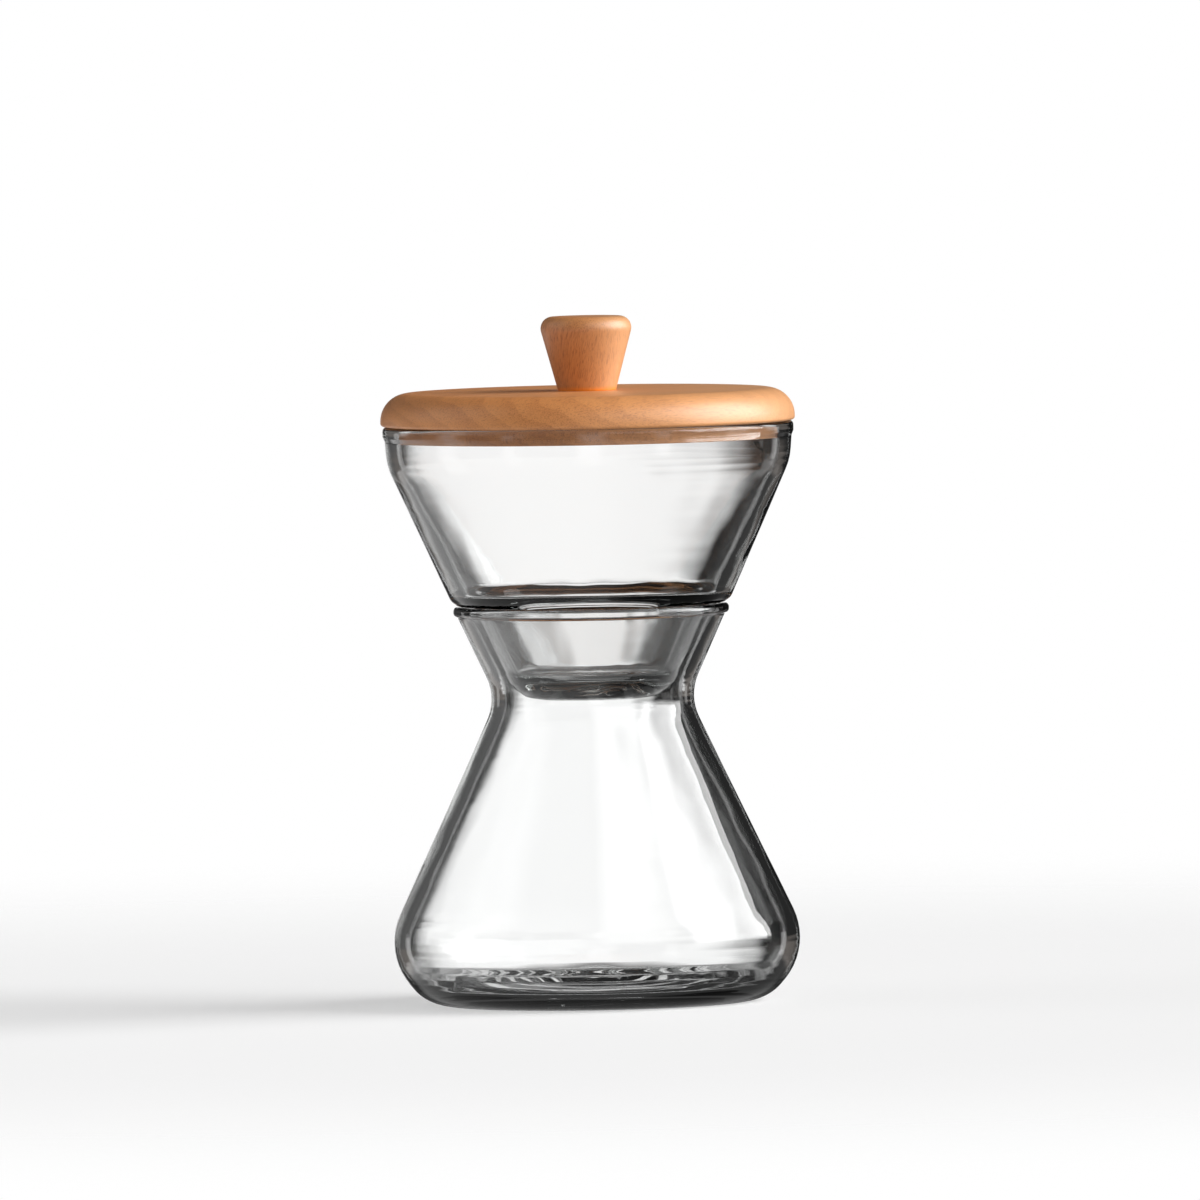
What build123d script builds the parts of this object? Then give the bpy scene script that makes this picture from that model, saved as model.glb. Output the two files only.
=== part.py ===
from build123d import *
import math
import os

# Stacking glass creamer and sugar bowl with a turned wooden lid.
#
# The creamer is an hourglass of clear blown glass. The sugar bowl is a glass cone on a
# narrower foot, and its shoulder sits on the creamer's rim while the foot hangs in the
# mouth. A round beech lid drops into the bowl and carries a beech knob, glued on a dowel.
#
# Millimetres, +Z up. The origin is the centre of the base, on the surface it stands on.
# Every piece is turned about Z, so each is one outline of (radius, height) corners.

# Creamer
CREAMER_HEIGHT = 100.3
NECK_RADIUS = 25.55  # narrowest point of the neck, outside
NECK_HEIGHT = 77.0
CONE_ANGLE = 25.2  # both cones of the hourglass, from the vertical
NECK_FILLET = 13.0
HEEL_FILLET = 16.9  # rounding from the body into the 45 degree heel
TOE_FILLET = 12.5  # rounding from the heel into the base
TOE_RADIUS = 42.3  # where the heel's 45 degree line meets the table
CREAMER_WALL = 3.2
CREAMER_FLOOR = 4.5
INNER_HEEL_FILLET = 13.3
INNER_TOE_FILLET = 5.5
INNER_TOE_RADIUS = 42.2  # where the inner heel's line meets the floor
PUNT_HEIGHT = 1.3  # hollow under the base
PUNT_RADIUS = 18.0
PUNT_EDGE_RADIUS = 31.0
PUNT_FILLET = 40.0
CREAMER_RIM_RADIUS = 34.75
CREAMER_RIM_DEPTH = 2.6  # height of the fire-polished bead
CREAMER_RIM_WIDTH = 3.4
CREAMER_RIM_ROUND = 1.1
CREAMER_BEAD_STEP = 0.15  # how far the funnel draws in just below the bead
CREAMER_BEAD_RISE = 0.35  # height over which the bead swells out
CREAMER_BEAD_FILLETS = (0.4, 1.0)  # below and above that swell
CREAMER_MOUTH_DEPTH = 1.6  # straight part inside the rim
CREAMER_MOUTH_FILLET = 2.0

# Sugar bowl
SEAT_GAP = 0.1  # between glass and glass, and between wood and glass, at rest
BOWL_TOP = 146.0
BOWL_RIM_RADIUS = 51.8
BOWL_RIM_DEPTH = 3.2
BOWL_RIM_WIDTH = 3.2
BOWL_RIM_ROUND = 1.2
BOWL_BEAD_STEP = 0.5  # how far the bead stands out from the wall
BOWL_BEAD_RISE = 0.6  # half the height over which it swells out
BOWL_BEAD_FILLET = 0.8
BOWL_BEND_HEIGHT = 136.2  # where the cone turns up towards the rim
BOWL_BEND_RADIUS = 50.85
BOWL_BEND_FILLET = 16.0
BOWL_SHOULDER_RADIUS = 34.75  # outside corner, where the cone meets the seat
BOWL_SHOULDER_FILLET = 3.6
BOWL_SHOULDER_THICKNESS = 3.5
BOWL_INNER_SHOULDER_FILLET = 1.4
BOWL_WALL_TOP = 2.95  # level thickness of the wall at the bend
BOWL_WALL_BOTTOM = 4.5  # level thickness of the wall at the shoulder
FOOT_BOTTOM = 76.7
FOOT_FLOOR = 6.3  # solid glass under the well
FOOT_RADIUS = 29.85  # foot's cone carried up to the seat
FOOT_FILLET = 9.5
FOOT_WALL = 2.9
SEAT_FILLET = 1.5  # where the foot meets the seat
WELL_MOUTH_FILLET = 2.0
WELL_FILLET = 4.0

# Lid
LID_RADIUS = 52.2
LID_THICKNESS = 8.2  # above the bowl's rim
LID_ROUND = 7.0
LID_LOWER_ROUND = 0.8
PLUG_RADIUS = 47.7
PLUG_DEPTH = 3.9
PLUG_ROUND = 0.6

# Knob
KNOB_HEIGHT = 18.7
KNOB_BASE_RADIUS = 7.3
KNOB_TOP_RADIUS = 12.35  # the cone carried up to the top face
KNOB_ROUND = 3.0
KNOB_LOWER_ROUND = 0.25

# Dowel between lid and knob
DOWEL_RADIUS = 3.0
DOWEL_IN_LID = 7.5
DOWEL_IN_KNOB = 9.5
DOWEL_CHAMFER = 0.6
DOWEL_END_GAP = 0.5  # room for glue at each end of the dowel's holes
DOWEL_SIDE_GAP = 0.03

slope = math.tan(math.radians(CONE_ANGLE))
level_wall = CREAMER_WALL / math.cos(math.radians(CONE_ANGLE))
bowl_base = CREAMER_HEIGHT + SEAT_GAP
lid_base = BOWL_TOP + SEAT_GAP
lid_top = lid_base + LID_THICKNESS


def turned(points, radii):
    """A solid turned about Z from an outline that starts and ends on the axis.

    points are (radius, height) corners, and radii rounds each corner between them.
    """
    with BuildPart() as made:
        with BuildSketch(Plane.XZ):
            with BuildLine():
                FilletPolyline(*points, radius=radii)
                Line(points[-1], points[0])
            make_face()
        revolve(axis=Axis.Z)
    return made.part


def neck_corner():
    """Sharp corner of the hourglass's two outer cones, at the neck."""
    spread = NECK_FILLET * (1 / math.cos(math.radians(CONE_ANGLE)) - 1)
    return NECK_RADIUS - spread


def lower_cone(height):
    return neck_corner() + (NECK_HEIGHT - height) * slope


def upper_cone(height):
    return neck_corner() + (height - NECK_HEIGHT) * slope


def heel(cone_radius, toe_radius, floor):
    """Corner where a 45 degree line from the toe, at floor height, meets the cone."""
    rise = (cone_radius - toe_radius) / (1 + slope)
    return (toe_radius + rise, floor + rise)


def creamer():
    """Hourglass vessel: punted base, rounded heel, cone, neck, funnel and beaded rim."""
    outer_heel = heel(lower_cone(0), TOE_RADIUS, 0)
    inner_cone = lower_cone(CREAMER_FLOOR) - level_wall
    inner_heel = heel(inner_cone, INNER_TOE_RADIUS, CREAMER_FLOOR)
    bead_bottom = CREAMER_HEIGHT - CREAMER_RIM_DEPTH
    rim_inside = CREAMER_RIM_RADIUS - CREAMER_RIM_WIDTH
    low_fillet, high_fillet = CREAMER_BEAD_FILLETS
    outline = [
        ((0, PUNT_HEIGHT), None),
        ((PUNT_RADIUS, PUNT_HEIGHT), PUNT_FILLET),
        ((PUNT_EDGE_RADIUS, 0), PUNT_FILLET),
        ((TOE_RADIUS, 0), TOE_FILLET),
        (outer_heel, HEEL_FILLET),
        ((neck_corner(), NECK_HEIGHT), NECK_FILLET),
        ((upper_cone(bead_bottom) - CREAMER_BEAD_STEP, bead_bottom), low_fillet),
        ((CREAMER_RIM_RADIUS, bead_bottom + CREAMER_BEAD_RISE), high_fillet),
        ((CREAMER_RIM_RADIUS, CREAMER_HEIGHT), CREAMER_RIM_ROUND),
        ((rim_inside, CREAMER_HEIGHT), CREAMER_RIM_ROUND),
        ((rim_inside, CREAMER_HEIGHT - CREAMER_MOUTH_DEPTH), CREAMER_MOUTH_FILLET),
        ((neck_corner() - level_wall, NECK_HEIGHT), NECK_FILLET + CREAMER_WALL),
        (inner_heel, INNER_HEEL_FILLET),
        ((INNER_TOE_RADIUS, CREAMER_FLOOR), INNER_TOE_FILLET),
        ((0, CREAMER_FLOOR), None),
    ]
    return turned([p for p, _ in outline], [r for _, r in outline[1:-1]])


def sugar_bowl():
    """Glass cone on a narrower foot, whose shoulder rests on the creamer's rim."""
    foot_depth = bowl_base - FOOT_BOTTOM
    foot_corner = FOOT_RADIUS - foot_depth * slope
    shoulder_top = bowl_base + BOWL_SHOULDER_THICKNESS
    well_floor = FOOT_BOTTOM + FOOT_FLOOR
    foot_level_wall = FOOT_WALL / math.cos(math.radians(CONE_ANGLE))
    well_corner = FOOT_RADIUS - (bowl_base - well_floor) * slope - foot_level_wall
    well_mouth = well_corner + (shoulder_top - well_floor) * slope
    wall_slope = (BOWL_BEND_RADIUS - BOWL_SHOULDER_RADIUS) / (BOWL_BEND_HEIGHT - bowl_base)
    inner_shoulder = (
        BOWL_SHOULDER_RADIUS + BOWL_SHOULDER_THICKNESS * wall_slope - BOWL_WALL_BOTTOM
    )
    bead_bottom = BOWL_TOP - BOWL_RIM_DEPTH
    rim_inside = BOWL_RIM_RADIUS - BOWL_RIM_WIDTH
    outline = [
        ((0, FOOT_BOTTOM), None),
        ((foot_corner, FOOT_BOTTOM), FOOT_FILLET),
        ((FOOT_RADIUS, bowl_base), SEAT_FILLET),
        ((BOWL_SHOULDER_RADIUS, bowl_base), BOWL_SHOULDER_FILLET),
        ((BOWL_BEND_RADIUS, BOWL_BEND_HEIGHT), BOWL_BEND_FILLET),
        ((BOWL_RIM_RADIUS - BOWL_BEAD_STEP, bead_bottom - BOWL_BEAD_RISE), BOWL_BEAD_FILLET),
        ((BOWL_RIM_RADIUS, bead_bottom + BOWL_BEAD_RISE), BOWL_BEAD_FILLET),
        ((BOWL_RIM_RADIUS, BOWL_TOP), BOWL_RIM_ROUND),
        ((rim_inside, BOWL_TOP), BOWL_RIM_ROUND),
        ((BOWL_BEND_RADIUS - BOWL_WALL_TOP, BOWL_BEND_HEIGHT), BOWL_BEND_FILLET),
        ((inner_shoulder, shoulder_top), BOWL_INNER_SHOULDER_FILLET),
        ((well_mouth, shoulder_top), WELL_MOUTH_FILLET),
        ((well_corner, well_floor), WELL_FILLET),
        ((0, well_floor), None),
    ]
    return turned([p for p, _ in outline], [r for _, r in outline[1:-1]])


def lid_disc():
    """Beech disc with a rounded upper edge and a turned plug that locates in the bowl."""
    disc = turned(
        [
            (0, lid_base - PLUG_DEPTH),
            (PLUG_RADIUS, lid_base - PLUG_DEPTH),
            (PLUG_RADIUS, lid_base),
            (LID_RADIUS, lid_base),
            (LID_RADIUS, lid_top),
            (0, lid_top),
        ],
        [PLUG_ROUND, 0, LID_LOWER_ROUND, LID_ROUND],
    )
    depth = DOWEL_IN_LID + DOWEL_END_GAP
    hole = Pos(0, 0, lid_top - depth) * Cylinder(
        DOWEL_RADIUS + DOWEL_SIDE_GAP, depth, align=(Align.CENTER, Align.CENTER, Align.MIN)
    )
    return disc - hole


def knob():
    """Beech knob, widest near the top, with a blind hole for the dowel."""
    body = turned(
        [
            (0, lid_top),
            (KNOB_BASE_RADIUS, lid_top),
            (KNOB_TOP_RADIUS, lid_top + KNOB_HEIGHT),
            (0, lid_top + KNOB_HEIGHT),
        ],
        [KNOB_LOWER_ROUND, KNOB_ROUND],
    )
    hole = Pos(0, 0, lid_top) * Cylinder(
        DOWEL_RADIUS + DOWEL_SIDE_GAP,
        DOWEL_IN_KNOB + DOWEL_END_GAP,
        align=(Align.CENTER, Align.CENTER, Align.MIN),
    )
    return body - hole


def knob_dowel():
    """Beech dowel with chamfered ends, half in the lid and half in the knob."""
    bottom = lid_top - DOWEL_IN_LID
    top = lid_top + DOWEL_IN_KNOB
    return turned(
        [
            (0, bottom),
            (DOWEL_RADIUS - DOWEL_CHAMFER, bottom),
            (DOWEL_RADIUS, bottom + DOWEL_CHAMFER),
            (DOWEL_RADIUS, top - DOWEL_CHAMFER),
            (DOWEL_RADIUS - DOWEL_CHAMFER, top),
            (0, top),
        ],
        [0, 0, 0, 0],
    )


PIECES = {
    "creamer": creamer,
    "sugar_bowl": sugar_bowl,
    "lid_disc": lid_disc,
    "lid_knob": knob,
    "knob_dowel": knob_dowel,
}

os.makedirs("parts", exist_ok=True)
for name, build in PIECES.items():
    export_step(build(), f"parts/{name}.step")
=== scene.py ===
"""Stacking glass creamer and sugar bowl with a turned beech lid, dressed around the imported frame.

Metres, +Z up, the origin at the centre of the base. Every piece is turned about Z, so each
starts as one outline of (radius, height) corners in millimetres, and the small unevenness of
blown glass is added to the finished mesh.
"""

import math

import bpy
from mathutils import Matrix, Vector, noise


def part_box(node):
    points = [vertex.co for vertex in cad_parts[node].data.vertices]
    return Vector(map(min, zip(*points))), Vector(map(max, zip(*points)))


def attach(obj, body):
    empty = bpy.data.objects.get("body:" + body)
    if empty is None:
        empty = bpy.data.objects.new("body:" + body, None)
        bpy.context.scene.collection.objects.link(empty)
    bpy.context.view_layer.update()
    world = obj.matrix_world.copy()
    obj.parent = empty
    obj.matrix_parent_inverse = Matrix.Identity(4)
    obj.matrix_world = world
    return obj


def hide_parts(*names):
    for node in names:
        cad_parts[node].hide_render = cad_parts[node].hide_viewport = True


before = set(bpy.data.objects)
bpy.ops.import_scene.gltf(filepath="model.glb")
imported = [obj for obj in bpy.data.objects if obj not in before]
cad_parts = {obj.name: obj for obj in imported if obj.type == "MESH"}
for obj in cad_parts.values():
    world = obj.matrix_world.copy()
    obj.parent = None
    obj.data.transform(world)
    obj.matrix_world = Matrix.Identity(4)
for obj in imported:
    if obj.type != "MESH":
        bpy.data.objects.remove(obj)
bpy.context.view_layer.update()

MM = 0.001
TURN = 2 * math.pi


def top(node):
    """Highest point of a CAD node, in millimetres."""
    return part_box(node)[1].z / MM


def bottom(node):
    """Lowest point of a CAD node, in millimetres."""
    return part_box(node)[0].z / MM


def radius(node):
    """Largest radius of a CAD node, in millimetres."""
    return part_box(node)[1].x / MM


# ---------------------------------------------------------------- outlines and turning

ARC_STEP = math.radians(7)  # turn from one point of a fillet to the next
SPACING = 0.9  # longest run between two points of an outline
TINY = 1e-4  # a turn or a run too small to matter


def rounded(corners, longest=SPACING):
    """Points along (radius, height, fillet) corners, with each fillet as an arc."""
    points = [Vector(corners[0][:2])]
    for before, (x, y, fillet), after in zip(corners, corners[1:], corners[2:]):
        corner = Vector((x, y))
        back = (Vector(before[:2]) - corner).normalized()
        ahead = (Vector(after[:2]) - corner).normalized()
        turn = math.pi - back.angle(ahead)
        if fillet == 0 or turn < TINY:
            points.append(corner)
            continue
        reach = fillet * math.tan(turn / 2)
        start, end = corner + back * reach, corner + ahead * reach
        centre = corner + (back + ahead).normalized() * (fillet / math.cos(turn / 2))
        count = max(2, math.ceil(turn / ARC_STEP))
        sweep = (start - centre).angle_signed(end - centre)
        for k in range(count + 1):
            spoke = (start - centre).copy()
            spoke.rotate(Matrix.Rotation(-sweep * k / count, 2))
            points.append(centre + spoke)
    points.append(Vector(corners[-1][:2]))
    return spaced(points, longest)


def spaced(points, longest):
    """The same line with its long runs divided evenly."""
    out = [points[0]]
    for a, b in zip(points, points[1:]):
        run = (b - a).length
        if run < TINY:
            continue
        count = max(1, math.ceil(run / longest))
        out += [a.lerp(b, k / count) for k in range(1, count + 1)]
    return out


def normals(points):
    """Unit normals of the outline, on its right as it is walked."""
    out = []
    for k in range(len(points)):
        run = points[min(k + 1, len(points) - 1)] - points[max(k - 1, 0)]
        out.append(Vector((run.y, -run.x)).normalized())
    return out


def turned(name, outline, segments, shift=None):
    """A closed smooth mesh turned about Z from an outline that starts and ends on the axis.

    The outline runs from the underside, up the outside and back inwards over the top.
    shift(angle, radius, height, share) is how far a point moves out of the surface, and
    share is how far along the outline it is, from 0 to 1.
    """
    points = outline[1:-1]
    ways = normals(outline)[1:-1]
    vertices = []
    for k, (p, way) in enumerate(zip(points, ways)):
        for s in range(segments):
            angle = TURN * s / segments
            move = shift(angle, p.x, p.y, k / len(points)) if shift else 0
            r, z = p.x + way.x * move, p.y + way.y * move
            vertices.append((r * math.cos(angle) * MM, r * math.sin(angle) * MM, z * MM))
    first = len(vertices)
    for ring in (0, len(points) - 1):
        heights = [vertices[ring * segments + s][2] for s in range(segments)]
        vertices.append((0, 0, sum(heights) / segments))
    faces = []
    for k in range(len(points) - 1):
        for s in range(segments):
            a, b = k * segments + s, k * segments + (s + 1) % segments
            faces.append((a, b, b + segments, a + segments))
    last = (len(points) - 1) * segments
    for s in range(segments):
        n = (s + 1) % segments
        faces.append((first, n, s))
        faces.append((first + 1, last + s, last + n))
    mesh = bpy.data.meshes.new(name)
    mesh.from_pydata(vertices, [], faces)
    mesh.validate()
    mesh.shade_smooth()
    piece = bpy.data.objects.new(name, mesh)
    bpy.context.scene.collection.objects.link(piece)
    return piece


def uneven(angle, z, around, along, seed):
    """Smooth noise from -1 to 1 on a turned surface, with no seam.

    around is about how many swells go round, and along the height of one in millimetres.
    """
    turn = around / 3
    return noise.noise(Vector((math.cos(angle) * turn + seed, math.sin(angle) * turn, z / along)))


def eased(value, low, high):
    """0 below low, 1 above high, and smooth between."""
    t = min(max((value - low) / (high - low), 0), 1)
    return t * t * (3 - 2 * t)


# ---------------------------------------------------------------- glass shapes

SEAT_GAP = 0.1  # between glass and glass, and between wood and glass, at rest

CONE_ANGLE = math.radians(25.2)  # both cones of the hourglass, from the vertical
CONE = math.tan(CONE_ANGLE)
LEVEL = 1 / math.cos(CONE_ANGLE)  # a sloping wall's level thickness over its true one
NECK_CORNER = 24.18  # radius where the two outer cones would meet
NECK_HEIGHT = 77.0
NECK_FILLET = 13.0
HEEL_FILLET = 16.9  # rounding from the body into the 45 degree heel
TOE_FILLET = 12.5  # rounding from the heel into the base
TOE_RADIUS = 42.3  # where the heel's 45 degree line meets the table
CREAMER_WALL = 3.2
CREAMER_FLOOR = 4.5
INNER_HEEL_FILLET = 13.3
INNER_TOE_FILLET = 5.5
INNER_TOE_RADIUS = 42.2  # where the inner heel's line meets the floor
PUNT_HEIGHT = 1.3  # hollow under the base
PUNT_RADIUS = 18
PUNT_EDGE_RADIUS = 31
PUNT_FILLET = 40
CREAMER_RIM_RADIUS = 34.75
CREAMER_RIM_DEPTH = 2.6  # height of the fire-polished bead
CREAMER_RIM_WIDTH = 3.4
CREAMER_RIM_ROUND = 1.1
CREAMER_BEAD_STEP = 0.15  # how far the funnel draws in just below the bead
CREAMER_BEAD_RISE = 0.35  # height over which the bead swells out
CREAMER_BEAD_FILLETS = (0.4, 1.0)  # below and above that swell
CREAMER_MOUTH_DEPTH = 1.6  # straight part inside the rim
CREAMER_MOUTH_FILLET = 2.0

BOWL_RIM_DEPTH = 3.2
BOWL_RIM_WIDTH = 3.2
BOWL_RIM_ROUND = 1.2
BOWL_BEAD_STEP = 0.5  # how far the bead stands out from the wall
BOWL_BEAD_RISE = 0.6  # half the height over which it swells out
BOWL_BEAD_FILLET = 0.8
BOWL_BEND_HEIGHT = 136.2  # where the cone turns up towards the rim
BOWL_BEND_RADIUS = 50.85
BOWL_BEND_FILLET = 16
BOWL_SHOULDER_RADIUS = 34.75  # outside corner, where the cone meets the seat
BOWL_SHOULDER_FILLET = 3.6
BOWL_SHOULDER_THICKNESS = 3.5
BOWL_INNER_SHOULDER_FILLET = 1.4
BOWL_WALL_TOP = 2.95  # level thickness of the wall at the bend
BOWL_WALL_BOTTOM = 4.5  # level thickness of the wall at the shoulder
FOOT_FLOOR = 6.3  # solid glass under the well
FOOT_RADIUS = 29.85  # foot's cone carried up to the seat
FOOT_FILLET = 9.5
FOOT_WALL = 2.9
SEAT_FILLET = 1.5  # where the foot meets the seat
WELL_MOUTH_FILLET = 2.0
WELL_FILLET = 4.0


def lower_cone(z):
    return NECK_CORNER + (NECK_HEIGHT - z) * CONE


def upper_cone(z):
    return NECK_CORNER + (z - NECK_HEIGHT) * CONE


def heel(cone_radius, toe, floor):
    """Corner between a 45 degree heel rising from the toe and the cone."""
    rise = (cone_radius - toe) / (1 + CONE)
    return toe + rise, floor + rise


def creamer_outline():
    """Hourglass vessel: punted base, rounded heel, cone, neck, funnel and beaded rim."""
    height = top("creamer")
    inside = CREAMER_RIM_RADIUS - CREAMER_RIM_WIDTH
    bead = height - CREAMER_RIM_DEPTH
    low_fillet, high_fillet = CREAMER_BEAD_FILLETS
    level_wall = CREAMER_WALL * LEVEL
    outer = heel(lower_cone(0), TOE_RADIUS, 0)
    inner = heel(lower_cone(CREAMER_FLOOR) - level_wall, INNER_TOE_RADIUS, CREAMER_FLOOR)
    return rounded(
        [
            (0, PUNT_HEIGHT, 0),
            (PUNT_RADIUS, PUNT_HEIGHT, PUNT_FILLET),
            (PUNT_EDGE_RADIUS, 0, PUNT_FILLET),
            (TOE_RADIUS, 0, TOE_FILLET),
            (*outer, HEEL_FILLET),
            (NECK_CORNER, NECK_HEIGHT, NECK_FILLET),
            (upper_cone(bead) - CREAMER_BEAD_STEP, bead, low_fillet),
            (CREAMER_RIM_RADIUS, bead + CREAMER_BEAD_RISE, high_fillet),
            (CREAMER_RIM_RADIUS, height, CREAMER_RIM_ROUND),
            (inside, height, CREAMER_RIM_ROUND),
            (inside, height - CREAMER_MOUTH_DEPTH, CREAMER_MOUTH_FILLET),
            (NECK_CORNER - level_wall, NECK_HEIGHT, NECK_FILLET + CREAMER_WALL),
            (*inner, INNER_HEEL_FILLET),
            (INNER_TOE_RADIUS, CREAMER_FLOOR, INNER_TOE_FILLET),
            (0, CREAMER_FLOOR, 0),
        ]
    )


def bowl_outline():
    """Glass cone on a narrower foot, whose shoulder rests on the creamer's rim."""
    foot, rim_top, rim = bottom("sugar_bowl"), top("sugar_bowl"), radius("sugar_bowl")
    seat = top("creamer") + SEAT_GAP
    ledge = seat + BOWL_SHOULDER_THICKNESS
    cone = (BOWL_BEND_RADIUS - BOWL_SHOULDER_RADIUS) / (BOWL_BEND_HEIGHT - seat)
    inner_shoulder = BOWL_SHOULDER_RADIUS + BOWL_SHOULDER_THICKNESS * cone - BOWL_WALL_BOTTOM
    well_floor = foot + FOOT_FLOOR
    well = FOOT_RADIUS - (seat - well_floor) * CONE - FOOT_WALL * LEVEL
    bead = rim_top - BOWL_RIM_DEPTH
    inside = rim - BOWL_RIM_WIDTH
    return rounded(
        [
            (0, foot, 0),
            (FOOT_RADIUS - (seat - foot) * CONE, foot, FOOT_FILLET),
            (FOOT_RADIUS, seat, SEAT_FILLET),
            (BOWL_SHOULDER_RADIUS, seat, BOWL_SHOULDER_FILLET),
            (BOWL_BEND_RADIUS, BOWL_BEND_HEIGHT, BOWL_BEND_FILLET),
            (rim - BOWL_BEAD_STEP, bead - BOWL_BEAD_RISE, BOWL_BEAD_FILLET),
            (rim, bead + BOWL_BEAD_RISE, BOWL_BEAD_FILLET),
            (rim, rim_top, BOWL_RIM_ROUND),
            (inside, rim_top, BOWL_RIM_ROUND),
            (BOWL_BEND_RADIUS - BOWL_WALL_TOP, BOWL_BEND_HEIGHT, BOWL_BEND_FILLET),
            (inner_shoulder, ledge, BOWL_INNER_SHOULDER_FILLET),
            (well + (ledge - well_floor) * CONE, ledge, WELL_MOUTH_FILLET),
            (well, well_floor, WELL_FILLET),
            (0, well_floor, 0),
        ]
    )


GLASS_SEGMENTS = 236
RIM_SHARE = 0.55  # how far along either outline its rim is
RIPPLE = 0.03  # how far, in millimetres, each kind of unevenness moves the glass
BAND = 0.012
BAND_PITCH = 1.6
RINGS = 0.1
RING_PITCH = 3.4
POOL_WIDTH = 11
RING_WANDER = 8.0  # radians by which the rings' places wander
RING_SPAN = (4, 12)  # they start between these distances from the axis
POOL_EDGE = 0.75  # share of the floor's uneven radius from which it calms down
FLOOR_DEPTH = 4  # height above the floor up to which it is uneven
RIM_CALM = 0.08  # share of the outline on either side of the rim that is calmer
FOOT_CALM = (0.3, 9)  # height above the foot over which the outside becomes uneven
LUMP = 0.05
LUMP_REACH = (1.5, 3.5)  # height from the rim or seat over which the lumps fade out
LUMP_LEAST, LUMP_CALM = 0.6, (0.2, 1.0)  # and they are smaller right at it


def lump(angle, z, worked, seed):
    """Small lumps near the worked heights: the rim and seat, which were shaped in the flame."""
    away = min(abs(z - height) for height in worked)
    calm = LUMP_LEAST + (1 - LUMP_LEAST) * eased(away, *LUMP_CALM)
    amount = (1 - eased(away, *LUMP_REACH)) * calm
    return LUMP * amount * uneven(angle, z, around=40, along=4, seed=seed)


def floor_waves(angle, r, pooled, seed):
    """Rings and shallow pools in the thick floor, where the glass cooled last."""
    wander = RING_WANDER * uneven(angle, r, around=4, along=14, seed=seed + 9)
    rings = math.sin(TURN * r / RING_PITCH + wander) * eased(r, *RING_SPAN)
    x, y = r * math.cos(angle) / POOL_WIDTH, r * math.sin(angle) / POOL_WIDTH
    return RINGS * rings + pooled * noise.noise(Vector((x, y, seed)))


def blown(seed, foot, floor, floor_radius, pooled, swell, worked):
    """The unevenness of a blown vessel, as a shift for turned().

    foot is the height it stands on, floor the height of its inner floor and floor_radius how
    far out that is uneven. pooled is the depth of its pools and swell that of the walls.
    """

    def shift(angle, r, z, share):
        inside = share > RIM_SHARE
        side = seed + (20 if inside else 0)
        broad = swell * uneven(angle, z, around=5, along=30, seed=side)
        fine = RIPPLE * uneven(angle, z, around=16, along=7, seed=side + 5)
        band = BAND * noise.noise(Vector((side, 7, z / BAND_PITCH)))
        move = eased(abs(share - RIM_SHARE), 0.0, RIM_CALM) * (broad + fine + band)
        if inside and z < floor + FLOOR_DEPTH:
            middle = 1 - eased(r, floor_radius * POOL_EDGE, floor_radius)
            move = move * (1 - middle) + middle * floor_waves(angle, r, pooled, side)
        elif not inside:
            move *= eased(z - foot, *FOOT_CALM)
        return move + lump(angle, z, worked, seed + 30)

    return shift


def build_glass():
    """Both vessels, each riding on its own body."""
    seat, rim, foot = top("creamer"), top("sugar_bowl"), bottom("sugar_bowl")
    creamer_shift = blown(
        seed=1,
        foot=0,
        floor=CREAMER_FLOOR,
        floor_radius=42,
        pooled=0.25,
        swell=0.12,
        worked=[seat],
    )
    bowl_shift = blown(
        seed=2,
        foot=foot,
        floor=foot + FOOT_FLOOR,
        floor_radius=18,
        pooled=0.06,
        swell=0.05,
        worked=[seat, rim],
    )
    creamer = turned("creamer_glass", creamer_outline(), GLASS_SEGMENTS, creamer_shift)
    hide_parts("creamer")
    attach(creamer, "creamer")
    bowl = turned("sugar_bowl_glass", bowl_outline(), GLASS_SEGMENTS, bowl_shift)
    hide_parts("sugar_bowl")
    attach(bowl, "sugar_bowl")
    return creamer, bowl


# ---------------------------------------------------------------- wood shapes

LID_ROUND = 7.0
LID_LOWER_ROUND = 0.8
LID_SEGMENTS = 192
PLUG_RADIUS = 47.7
PLUG_ROUND = 0.6
PLUG_CORNER_FILLET = 0.3  # where the plug meets the disc
KNOB_BASE_RADIUS = 7.3
KNOB_TOP_RADIUS = 12.35  # the cone carried up to the top face
KNOB_ROUND = 3.0
KNOB_LOWER_ROUND = 0.25
KNOB_SEGMENTS = 128
KNOB_SPACING = 0.8


def build_disc():
    """Round lid with a plug that locates in the bowl."""
    plug, lid_top, edge = bottom("lid_disc"), bottom("lid_knob"), radius("lid_disc")
    rim = top("sugar_bowl") + SEAT_GAP
    outline = rounded(
        [
            (0, plug, 0),
            (PLUG_RADIUS, plug, PLUG_ROUND),
            (PLUG_RADIUS, rim, PLUG_CORNER_FILLET),
            (edge, rim, LID_LOWER_ROUND),
            (edge, lid_top, LID_ROUND),
            (0, lid_top, 0),
        ]
    )
    disc = turned("lid_disc_beech", outline, LID_SEGMENTS)
    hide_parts("lid_disc")
    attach(disc, "lid")
    return disc


def build_knob():
    """Knob, widest near its top."""
    base, height = bottom("lid_knob"), top("lid_knob")
    outline = rounded(
        [
            (0, base, 0),
            (KNOB_BASE_RADIUS, base, KNOB_LOWER_ROUND),
            (KNOB_TOP_RADIUS, height, KNOB_ROUND),
            (0, height, 0),
        ],
        KNOB_SPACING,
    )
    knob = turned("lid_knob_beech", outline, KNOB_SEGMENTS)
    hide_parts("lid_knob")
    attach(knob, "lid")
    return knob


# ---------------------------------------------------------------- node helpers


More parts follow.
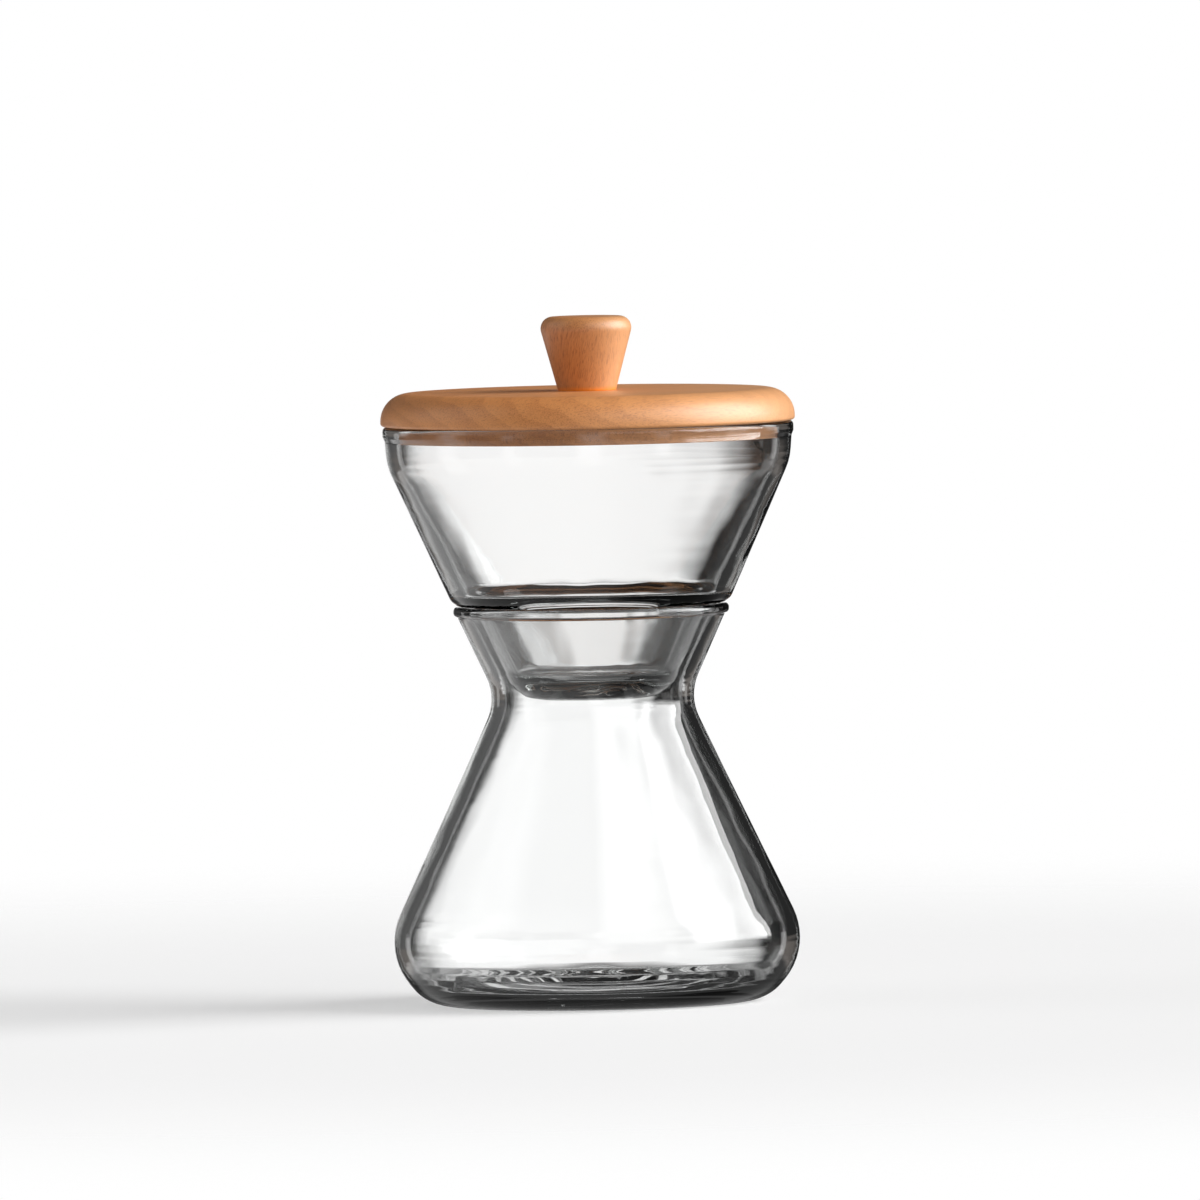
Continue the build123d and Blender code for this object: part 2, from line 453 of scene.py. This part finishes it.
class Nodes:
    """Short calls to build a shader tree."""

    def __init__(self, tree):
        self.tree = tree
        tree.nodes.clear()

    def add(self, kind, **settings):
        node = self.tree.nodes.new(kind)
        for key, value in settings.items():
            setattr(node, key, value)
        return node

    def link(self, source, target):
        """Plug source into the target socket, or set the socket if source is a plain value."""
        if isinstance(source, (int, float, tuple)):
            target.default_value = source
        else:
            self.tree.links.new(source, target)

    def math(self, operation, a, b=0.0, c=0.0):
        node = self.add("ShaderNodeMath", operation=operation)
        for value, socket in zip((a, b, c), node.inputs):
            self.link(value, socket)
        return node.outputs[0]

    def times(self, first, *others):
        """The product of all the values."""
        for value in others:
            first = self.math("MULTIPLY", first, value)
        return first

    def length(self, a, b):
        """Length of the level vector (a, b)."""
        return self.math("SQRT", self.math("ADD", self.times(a, a), self.times(b, b)))

    def split(self, vector):
        node = self.add("ShaderNodeSeparateXYZ")
        self.link(vector, node.inputs[0])
        return node.outputs

    def step(self, value, low, high, start=0.0, end=1.0):
        """start below low, end above high, and a smooth step between."""
        node = self.add("ShaderNodeMapRange", interpolation_type="SMOOTHSTEP")
        for item, socket in zip((value, low, high, start, end), node.inputs):
            self.link(item, socket)
        return node.outputs[0]

    def gate(self, value, low, high, soft_low, soft_high):
        """1 between low and high, with soft ends, and 0 outside."""
        rise = self.step(value, low - soft_low / 2, low + soft_low / 2)
        fall = self.step(value, high - soft_high / 2, high + soft_high / 2, 1.0, 0.0)
        return self.times(rise, fall)

    def mix(self, factor, a, b):
        """Colour a where factor is 0 and b where it is 1."""
        node = self.add("ShaderNodeMix", data_type="RGBA")
        self.link(factor, node.inputs[0])
        self.link(a, node.inputs[6])
        self.link(b, node.inputs[7])
        return node.outputs[2]

    def blend(self, factor, a, b):
        """Shader a where factor is 0 and b where it is 1."""
        node = self.add("ShaderNodeMixShader")
        for item, socket in zip((factor, a, b), node.inputs):
            self.link(item, socket)
        return node.outputs[0]

    def glow(self, strength):
        node = self.add("ShaderNodeEmission")
        node.inputs["Strength"].default_value = strength
        return node.outputs[0]


def new_material(name):
    """A material with an empty tree, and the calls to fill it."""
    material = bpy.data.materials.new(name)
    material.use_nodes = True
    return material, Nodes(material.node_tree)


def paint(piece, material):
    piece.data.materials.clear()
    piece.data.materials.append(material)


# ---------------------------------------------------------------- materials

GLASS_IOR = 1.47
GLASS_TINT = (0.78, 0.86, 0.82, 1)
GLASS_DENSITY = 12.0

BEECH_LIGHT, BEECH_DARK = (0.86, 0.36, 0.115), (0.42, 0.13, 0.032)
KNOB_LIGHT, KNOB_DARK = (0.75, 0.325, 0.112), (0.30, 0.09, 0.026)
# Painted light: each piece of wood pales towards +X, the side the softbox lights.
PAINTED_LIGHT = (0.80, 0.47, 0.24)
PAINTED_LIGHT_SHARE = 0.45
PAINTED_LIGHT_START, PAINTED_LIGHT_END = -0.3, 0.9  # across the piece towards +X, as shares of its radius
OILED = (0.95, 0.30, 0.01)
OILED_SHARE = 0.85
OILED_HEIGHT = 1.4  # millimetres above the knob's foot
GROWTH_RING = 3.4  # millimetres from one ring to the next
RING_DRIFT = 5.0  # how many rings' width they wander
DRIFT_SIZE = (90, 30, 30)  # millimetres along, across and through the grain
CLOUD_SIZE = (50, 16, 16)
FIBRE_SIZE = (16, 0.3, 0.3)
RAY_SIZE = (3.4, 0.6, 0.4)
FLECK_SIZE = (2.0, 0.22, 0.26)
FLECK_EDGE, RAY_EDGE = (0.54, 0.66), (0.52, 0.7)  # noise values at which each one starts
CLOUD_SHADE = 0.5  # how much darker each of these makes the wood
FIBRE_SHADE = 0.5
RAY_SHADE = 0.16
FLECK_SHADE = 0.24
SHADE_RANGE = (-0.1, 1.1)
BEECH_ROUGHNESS, FIBRE_ROUGHNESS = 0.33, 0.22  # least, and what the fibres add
COAT = 0.5
COAT_ROUGHNESS = 0.38
RELIEF_STRENGTH = 0.35
RELIEF_DEPTH = 0.05
FLECK_DEPTH = 0.8  # as a share of the fibres' height


def glass_material():
    """Smooth clear glass with a faint green in its thickness."""
    material, n = new_material("clear_glass")
    shader = n.add("ShaderNodeBsdfPrincipled")
    shader.inputs["Base Color"].default_value = (1, 1, 1, 1)
    shader.inputs["Roughness"].default_value = 0.0
    shader.inputs["IOR"].default_value = GLASS_IOR
    shader.inputs["Transmission Weight"].default_value = 1.0
    body = n.add("ShaderNodeVolumeAbsorption")
    body.inputs["Color"].default_value = GLASS_TINT
    body.inputs["Density"].default_value = GLASS_DENSITY
    out = n.add("ShaderNodeOutputMaterial")
    n.link(shader.outputs[0], out.inputs["Surface"])
    n.link(body.outputs[0], out.inputs["Volume"])
    return material


def beech_material(name, turn, pith, colours, ringed, reach, foot=None):
    """Steamed beech as a solid: growth rings about a pith, fibres, and short dark flecks.

    turn rotates the piece's own axes, in degrees, so that the grain runs along X, and pith is
    where the rings' axis crosses, in millimetres from the origin. ringed is how dark the rings
    are, and reach the piece's radius, over which it pales towards +X as painted light, on the
    side the softbox lights. foot is the height of an oiled glue line, if there is one.
    """
    material, n = new_material(name)
    place = n.add("ShaderNodeTexCoord").outputs["Object"]
    grain = n.add("ShaderNodeMapping")
    n.link(place, grain.inputs["Vector"])
    grain.inputs["Rotation"].default_value = [math.radians(t) for t in turn]
    grain.inputs["Location"].default_value = [-v for v in pith]
    grain.inputs["Scale"].default_value = (1 / MM,) * 3

    def noisy(stretch, detail, rough=0.5):
        """Noise with features about stretch millimetres along each axis."""
        scaled = n.add("ShaderNodeVectorMath", operation="DIVIDE")
        n.link(grain.outputs[0], scaled.inputs[0])
        scaled.inputs[1].default_value = stretch
        cloud = n.add("ShaderNodeTexNoise")
        n.link(scaled.outputs[0], cloud.inputs["Vector"])
        cloud.inputs["Scale"].default_value = 1.0
        cloud.inputs["Detail"].default_value = detail
        cloud.inputs["Roughness"].default_value = rough
        return cloud.outputs["Fac"]

    def ring_shade():
        """0 in early wood and 1 in the dark line that ends each ring."""
        across, up = n.split(grain.outputs[0])[1:]
        drift = n.times(noisy(DRIFT_SIZE, 2), RING_DRIFT)
        rings = n.math("ADD", n.math("DIVIDE", n.length(across, up), GROWTH_RING), drift)
        ring = n.math("FRACT", rings)
        return n.times(n.step(ring, 0.1, 0.9), n.step(ring, 0.9, 1.0, 1, 0))

    fibre = noisy(FIBRE_SIZE, 4, 0.6)
    fleck = n.step(noisy(FLECK_SIZE, 1, 0.4), *FLECK_EDGE)
    ray = n.step(noisy(RAY_SIZE, 1, 0.4), *RAY_EDGE)
    shade = n.times(noisy(CLOUD_SIZE, 2), CLOUD_SHADE)
    shade = n.math("MULTIPLY_ADD", ring_shade(), ringed, shade)
    shade = n.math("MULTIPLY_ADD", n.math("SUBTRACT", fibre, 0.5), FIBRE_SHADE, shade)
    shade = n.math("MULTIPLY_ADD", fleck, FLECK_SHADE, shade)
    shade = n.math("MULTIPLY_ADD", ray, RAY_SHADE, shade)
    light, dark = colours
    colour = n.mix(n.step(shade, *SHADE_RANGE), (*light, 1), (*dark, 1))
    x, _, z = n.split(place)
    # Painted light: paler towards +X, where the softbox lights the wood.
    start, end = PAINTED_LIGHT_START * reach * MM, PAINTED_LIGHT_END * reach * MM
    lit_side = n.step(x, start, end, 0, PAINTED_LIGHT_SHARE)
    colour = n.mix(lit_side, colour, (*PAINTED_LIGHT, 1))
    if foot is not None:
        oiled = n.step(z, foot * MM, (foot + OILED_HEIGHT) * MM, OILED_SHARE, 0)
        colour = n.mix(oiled, colour, (*OILED, 1))
    shader = n.add("ShaderNodeBsdfPrincipled")
    n.link(colour, shader.inputs["Base Color"])
    rough = n.math("MULTIPLY_ADD", fibre, FIBRE_ROUGHNESS, BEECH_ROUGHNESS)
    n.link(rough, shader.inputs["Roughness"])
    shader.inputs["Coat Weight"].default_value = COAT
    shader.inputs["Coat Roughness"].default_value = COAT_ROUGHNESS
    relief = n.add("ShaderNodeBump")
    relief.inputs["Strength"].default_value = RELIEF_STRENGTH
    relief.inputs["Distance"].default_value = RELIEF_DEPTH * MM
    n.link(n.math("MULTIPLY_ADD", fleck, -FLECK_DEPTH, fibre), relief.inputs["Height"])
    n.link(relief.outputs[0], shader.inputs["Normal"])
    out = n.add("ShaderNodeOutputMaterial")
    n.link(shader.outputs[0], out.inputs["Surface"])
    return material


def paint_wood(disc, knob):
    """Each piece of wood has its own grain, as cut from its own blank."""
    beech, darker = (BEECH_LIGHT, BEECH_DARK), (KNOB_LIGHT, KNOB_DARK)
    foot = bottom("lid_knob")
    paint(disc, beech_material("beech_lid", (0, 0, -35), (0, 20, 70), beech, 0.15, 52))
    paint(knob, beech_material("beech_knob", (0, 80, 20), (0, 12, 30), darker, 0.06, 12, foot))
    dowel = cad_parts["knob_dowel"]
    paint(dowel, beech_material("beech_dowel", (0, 90, 0), (0, 9, 9), beech, 0.15, 4))


# ---------------------------------------------------------------- floor

CORNERS = ((-1, -1), (1, -1), (1, 1), (-1, 1))
# A span is its start, its end, and how softly it starts and ends.
BENT = (0.5, 3.5, 0.1, 0.1)  # surfaces crossed by a ray that came through one wall's edge
FLOOR_HALF = 3.0  # from its middle to each side, in metres
FLOOR_FADE = (0.25, 0.75)  # metres from the object, where the floor fades out
FLOOR_GREY = (0.5, 0.5, 0.5, 1)
FLOOR_GLOW = 0.45
PAINTED_SHADOW = (0.048, 0.07)  # metres from the axis, where the painted shadow under the base fades out
# how bright the painted shadow under the base is
PAINTED_SHADOW_GLOW = 0.03
PAINTED_SHADOW_LEAST = 0.6  # how strong the painted shadow is for rays that come down steeply
SHALLOW = (0.72, 0.82)  # facing of rays that come in at a shallow angle


def build_floor():
    """A pale floor that fades into the surroundings.

    Only the camera sees it so. All other rays, such as those that come through the glass, see
    a painted shadow under the base, a soft dark patch, and past it the white table that the
    world gives them.
    """
    mesh = bpy.data.meshes.new("floor")
    corners = [(x * FLOOR_HALF, y * FLOOR_HALF, 0) for x, y in CORNERS]
    mesh.from_pydata(corners, [], [(0, 1, 2, 3)])
    floor = bpy.data.objects.new("floor", mesh)
    bpy.context.scene.collection.objects.link(floor)
    material, n = new_material("floor")
    place = n.add("ShaderNodeTexCoord")
    length = n.add("ShaderNodeVectorMath", operation="LENGTH")
    n.link(place.outputs["Object"], length.inputs[0])
    away = length.outputs["Value"]
    path = n.add("ShaderNodeLightPath")
    clear = n.add("ShaderNodeBsdfTransparent").outputs[0]

    # Painted shadow: rays other than the camera's see a dark patch on the floor under the base.
    facing = n.add("ShaderNodeLayerWeight").outputs["Facing"]
    bent = n.gate(path.outputs["Transmission Depth"], *BENT)
    strong = n.math("MAXIMUM", n.step(facing, *SHALLOW), bent)
    strong = n.math("MAXIMUM", strong, PAINTED_SHADOW_LEAST)
    dark = n.times(n.step(away, *PAINTED_SHADOW, 1, 0), strong)
    shadow_patch = n.blend(dark, clear, n.glow(PAINTED_SHADOW_GLOW))

    diffuse = n.add("ShaderNodeBsdfDiffuse")
    diffuse.inputs["Color"].default_value = FLOOR_GREY
    lit = n.add("ShaderNodeAddShader")
    n.link(diffuse.outputs[0], lit.inputs[0])
    n.link(n.glow(FLOOR_GLOW), lit.inputs[1])
    shown = n.blend(n.step(away, *FLOOR_FADE), lit.outputs[0], clear)

    out = n.add("ShaderNodeOutputMaterial")
    n.link(n.blend(path.outputs["Is Camera Ray"], shadow_patch, shown), out.inputs["Surface"])
    paint(floor, material)


# ---------------------------------------------------------------- light
#
# The world is a studio worked out from a ray's direction and from how much glass it crossed.
# Angles are in degrees: azimuth is 0 behind the object and 90 on its right. Places across are
# from -1 on the left to 1 on the right.

THROUGH_VESSEL = (3.5, 3.6)  # surfaces crossed by a ray that passed a whole vessel
THROUGH_BOTH = (4.5, 4.6)  # by one that passed the foot inside the creamer

PANEL = (-11, 3.2, 10, 6)  # about straight behind, in front, left and right
CORNER_PANEL = (-2, 5, 2, 4)  # about each diagonal
PANEL_LIGHT = 1.04
PANEL_LEAN = 2.8  # how far the panels turn on their way down
LEAN_START, LEAN_END = -9, -1
EDGE_TOP = (25, 40)  # where panels fade upwards, for rays that bounced in a wall's edge
OPEN_TOP = (1, 5)  # and for all others
SOFTBOX = ((62, 118, 1, 12), (2, 48, 6, 10))
SOFTBOX_LIGHT = 7.0
FILL = ((-120, -60, 20, 20), (5, 55, 10, 20))
FILL_LIGHT = 0.7
FRONT = ((110, 175, 20, 20), (8, 55, 10, 20))
FRONT_LIGHT = 1.4
EDGE_LIGHT = 0.8  # from overhead, for the walls' edges only
EDGE_OVERHEAD = (28, 40)
DARK_LEFT, DARK_RIGHT = 0.1, 0.02  # between the panels
DARK_ACROSS = (-0.6, 0.2)
DARK_THROUGH, SOFTBOX_THROUGH = 0.25, 0.3  # what a whole vessel leaves of each
FOOT_CUT, FOOT_CUT_LEFT = 0.05, 0.4  # what the foot takes from the panels, and more on the left
FOOT_CUT_SPAN = (-4.0, -1.5)

HORIZON = (-13.5, -11)  # below this is the white table
TABLE_FADE, TABLE_NEAR = (-40, -14), 0.6  # it dims to this towards the object
TABLE_SHADE, TABLE_SHADED = (0.0, 0.6), 0.15  # mirrored in the right of the glass
FOOT_DIM, FOOT_DIM_ACROSS = (0.75, 0.9), (-0.6, 0.3)  # what the foot takes from the table
FOOT_PANE, FOOT_PANE_LIGHT = (-0.21, -0.09, 0.06, 0.06), 0.55  # but less in this stretch
ASIDE, ASIDE_TOP, ASIDE_CUT = (5, 27, 4, 10), (-24, -16), 0.9  # dark table beside the panel

WARM = (0.15, 0.135, 0.125, 1)  # wood and table in the walls' edges
WARM_SPAN, WARM_ACROSS = (-15, -4, 4, 4), (0.1, 0.2)
GLINT = (0.8, 0.8, 0.8, 1)
GLINT_SPAN, GLINT_NEAR, GLINT_SHARE = (-24, -9, 6, 4), (3, 9), 0.9
DEEP, DEEP_ACROSS = (-30, -20), (-0.3, 0.3)  # steeply down, the walls' edges are dark
DEEP_LEFT, DEEP_RIGHT = 0.3, 0.07


class Ray:
    """What the studio knows of a ray: where it goes, and how it came through the glass.

    quarter and eighth are the degrees from the nearest side and from the nearest diagonal.
    edge is 1 for rays that bounced inside a wall on their way, and open for all others.
    """

    def __init__(self, n):
        place = n.add("ShaderNodeTexCoord")
        self.x, y, z = n.split(place.outputs["Generated"])
        degrees = 180 / math.pi
        self.azimuth = n.times(n.math("ARCTAN2", self.x, y), degrees)
        self.elevation = n.times(n.math("ARCTAN2", z, n.length(self.x, y)), degrees)
        side = n.math("FLOORED_MODULO", n.math("ADD", self.azimuth, 45), 90)
        self.quarter = n.math("SUBTRACT", side, 45)
        self.eighth = n.math("SUBTRACT", n.math("FLOORED_MODULO", self.azimuth, 90), 45)
        path = n.add("ShaderNodeLightPath")
        self.seen = path.outputs["Is Camera Ray"]
        self.crossings = path.outputs["Transmission Depth"]
        glassy = n.step(path.outputs["Diffuse Depth"], 0.4, 0.6, 1, 0)
        bounced = n.step(path.outputs["Glossy Depth"], 0.4, 0.6)
        self.edge = n.times(n.gate(self.crossings, *BENT), glassy, bounced)
        self.nested = n.times(n.step(self.crossings, *THROUGH_BOTH), glassy)
        self.open = n.math("SUBTRACT", 1, self.edge)


def panels(n, ray):
    """White panels at the four sides and narrower ones on the diagonals."""
    lean = n.step(ray.elevation, LEAN_START, LEAN_END, PANEL_LEAN, 0)
    broad = n.gate(n.math("SUBTRACT", ray.quarter, lean), *PANEL)
    plain = n.math("SUBTRACT", ray.open, ray.nested)
    panel = n.math("MAXIMUM", broad, n.times(n.gate(ray.eighth, *CORNER_PANEL), plain))
    low, high = (
        n.math("MULTIPLY_ADD", ray.open, for_open - for_edge, for_edge)
        for for_open, for_edge in zip(OPEN_TOP, EDGE_TOP)
    )
    left = n.step(ray.quarter, *FOOT_CUT_SPAN, 1, 0)
    cut = n.math("MULTIPLY_ADD", left, FOOT_CUT_LEFT, FOOT_CUT)
    kept = n.math("SUBTRACT", 1, n.times(ray.nested, cut))
    return n.times(panel, n.step(ray.elevation, low, high, 1, 0), kept)


def lamp(n, ray, across, up):
    """A soft-edged lamp that spans across in azimuth and up in elevation."""
    return n.times(n.gate(ray.azimuth, *across), n.gate(ray.elevation, *up))


def above(n, ray):
    """All of the light from the sides and above."""
    dark = n.step(ray.x, *DARK_ACROSS, DARK_LEFT, DARK_RIGHT)
    light = n.times(dark, n.step(ray.crossings, *THROUGH_VESSEL, 1, DARK_THROUGH))
    kept = n.step(ray.crossings, *THROUGH_VESSEL, 1, SOFTBOX_THROUGH)
    softbox = n.times(lamp(n, ray, *SOFTBOX), kept)
    overhead = n.times(ray.edge, n.step(ray.elevation, *EDGE_OVERHEAD))
    for part, strength in (
        (panels(n, ray), PANEL_LIGHT),
        (softbox, SOFTBOX_LIGHT),
        (lamp(n, ray, *FILL), FILL_LIGHT),
        (lamp(n, ray, *FRONT), FRONT_LIGHT),
        (overhead, EDGE_LIGHT),
    ):
        light = n.math("MULTIPLY_ADD", part, strength, light)
    return light


def table(n, ray):
    """The white table below, dimmer where the object's own shade or foot would darken it."""
    mirrored = n.step(ray.crossings, 0.5, 0.6, 1, 0)
    shade = n.times(mirrored, n.step(ray.x, *TABLE_SHADE))
    white = n.step(ray.elevation, *TABLE_FADE, TABLE_NEAR, 1.0)
    white = n.times(white, n.step(shade, 0, 1, 1, TABLE_SHADED))
    pane = n.gate(ray.x, *FOOT_PANE)
    dim = n.step(ray.x, *FOOT_DIM_ACROSS, *FOOT_DIM)
    dim = n.math("MULTIPLY_ADD", pane, -FOOT_PANE_LIGHT, dim)
    white = n.times(white, n.math("SUBTRACT", 1, n.times(ray.nested, dim)))
    aside = n.gate(n.math("ABSOLUTE", ray.azimuth), *ASIDE)
    aside = n.times(aside, n.step(ray.elevation, *ASIDE_TOP))
    return n.times(white, n.math("MULTIPLY_ADD", aside, -ASIDE_CUT, 1))


def edges(n, ray, light):
    """Light as the walls' edges show it: warm near the table, with glints, and dark below."""
    warm = n.times(ray.edge, n.gate(ray.elevation, *WARM_SPAN))
    warm = n.times(warm, n.step(n.math("ABSOLUTE", ray.x), *WARM_ACROSS))
    light = n.mix(warm, light, WARM)
    off_quarter, off_eighth = n.math("ABSOLUTE", ray.quarter), n.math("ABSOLUTE", ray.eighth)
    nearest = n.math("MINIMUM", off_quarter, off_eighth)
    glint = n.gate(ray.elevation, *GLINT_SPAN)
    glint = n.times(glint, n.step(nearest, *GLINT_NEAR, GLINT_SHARE, 0))
    light = n.mix(n.times(ray.edge, glint), light, GLINT)
    deep = n.times(ray.edge, n.step(ray.elevation, *DEEP, 1, 0))
    return n.mix(deep, light, n.step(ray.x, *DEEP_ACROSS, DEEP_LEFT, DEEP_RIGHT))


def build_world():
    """White where the camera looks straight at it, and the studio for every other ray."""
    world = bpy.data.worlds.new("studio")
    bpy.context.scene.world = world
    world.use_nodes = True
    n = Nodes(world.node_tree)
    ray = Ray(n)
    below = n.times(n.step(ray.elevation, *HORIZON, 1, 0), ray.open)
    light = edges(n, ray, n.mix(below, above(n, ray), table(n, ray)))
    background = n.add("ShaderNodeBackground")
    n.link(n.mix(ray.seen, light, (1, 1, 1, 1)), background.inputs["Color"])
    out = n.add("ShaderNodeOutputWorld")
    n.link(background.outputs[0], out.inputs["Surface"])


# ---------------------------------------------------------------- camera

FRAME_WIDTH = 0.3022  # what the picture spans at the object
CAMERA_DISTANCE = 6.5
CAMERA_ELEVATION = math.radians(2.3)
CAMERA_ROLL = math.radians(-1.05)
VIEW_CENTRE = Vector((0.0023, 0, 0.1014))
VIEW_DEPTH = 60


def build_camera():
    data = bpy.data.cameras.new("camera")
    camera = bpy.data.objects.new("camera", data)
    bpy.context.scene.collection.objects.link(camera)
    back = Vector((0, -math.cos(CAMERA_ELEVATION), math.sin(CAMERA_ELEVATION)))
    place = Matrix.Translation(VIEW_CENTRE + back * CAMERA_DISTANCE)
    level = back.to_track_quat("Z", "Y").to_matrix().to_4x4()
    camera.matrix_world = place @ level @ Matrix.Rotation(CAMERA_ROLL, 4, "Z")
    data.lens = data.sensor_width * CAMERA_DISTANCE / FRAME_WIDTH
    data.clip_end = VIEW_DEPTH
    bpy.context.scene.camera = camera


# ---------------------------------------------------------------- the scene

build_camera()
build_world()
build_floor()
glass = glass_material()
for vessel in build_glass():
    paint(vessel, glass)
paint_wood(build_disc(), build_knob())

scene = bpy.context.scene
scene.view_settings.view_transform = "Standard"
scene.cycles.max_bounces = 24  # enough for a ray to leave two nested vessels
scene.cycles.transmission_bounces = 24
scene.cycles.transparent_max_bounces = 16
